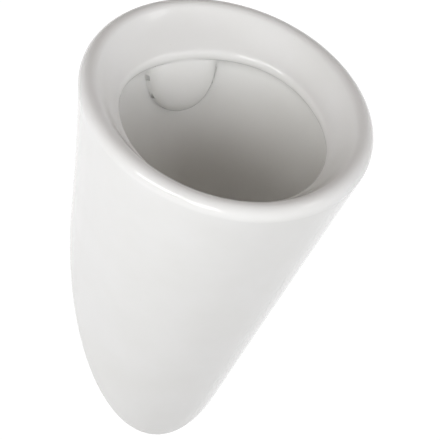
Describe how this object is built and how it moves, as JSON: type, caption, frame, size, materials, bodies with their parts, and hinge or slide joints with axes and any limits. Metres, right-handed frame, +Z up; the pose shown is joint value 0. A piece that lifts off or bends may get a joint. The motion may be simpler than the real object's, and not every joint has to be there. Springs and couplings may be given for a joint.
{
  "type": "wall hung urinal",
  "caption": "Wall hung oval urinal in glazed ceramic with a forward-tilted rolled rim, cast flush hood, lift-out strainer, concealed trap, concealed inlet and hanger studs.",
  "frame": {"origin": "midway between the two hanger studs, on the wall plane", "axes": "+Z up, +Y into the wall that the urinal hangs on, +X to the right as the user faces it; the rim faces -Y"},
  "size_m": [0.305, 0.402, 0.53],
  "materials": {
    "glazed_ceramic": "gloss",
    "zinc_steel": "satin",
    "grey_nylon": "matte",
    "white_nylon": "matte",
    "brass": "satin",
    "black_rubber": "matte",
    "chrome": "polished",
    "spring_steel": "satin",
    "white_polypropylene": "satin"
  },
  "bodies": {
    "urinal": {"ceramic_body": "glazed_ceramic", "hanger_studs": "zinc_steel", "wall_plugs": "grey_nylon", "hanger_sleeves": "white_nylon", "hanger_washers": "zinc_steel", "hanger_nuts": "zinc_steel", "inlet_nipple": "brass", "inlet_seal": "black_rubber", "inlet_washer": "brass", "siphon_head": "white_polypropylene", "siphon_dip_tube": "white_polypropylene", "dip_tube_o_ring": "black_rubber", "siphon_cup_seal": "black_rubber", "siphon_inlet_sleeve": "black_rubber"},
    "strainer": {"strainer_grate": "chrome", "strainer_ring": "black_rubber", "strainer_screw": "chrome", "strainer_clip": "spring_steel"},
    "lock_nut": {"inlet_lock_nut": "brass"},
    "nozzle": {"flush_nozzle": "chrome"},
    "trap_cup": {"siphon_cup": "white_polypropylene"}
  },
  "joints": [
    {"name": "strainer_lift", "type": "slide", "parent": "urinal", "child": "strainer", "axis": [0, 0, 1], "range_m": [0, 0.12]},
    {"name": "lock_nut_turn", "type": "hinge", "parent": "urinal", "child": "lock_nut", "pos_m": [0, -0.02, 0.108], "axis": [0, 1, 0], "continuous": true},
    {"name": "nozzle_turn", "type": "hinge", "parent": "urinal", "child": "nozzle", "pos_m": [0, -0.028, 0.108], "axis": [0, 1, 0], "continuous": true},
    {"name": "trap_cup_turn", "type": "hinge", "parent": "urinal", "child": "trap_cup", "pos_m": [0, -0.032, -0.23], "axis": [0, 0, 1], "continuous": true}
  ]
}
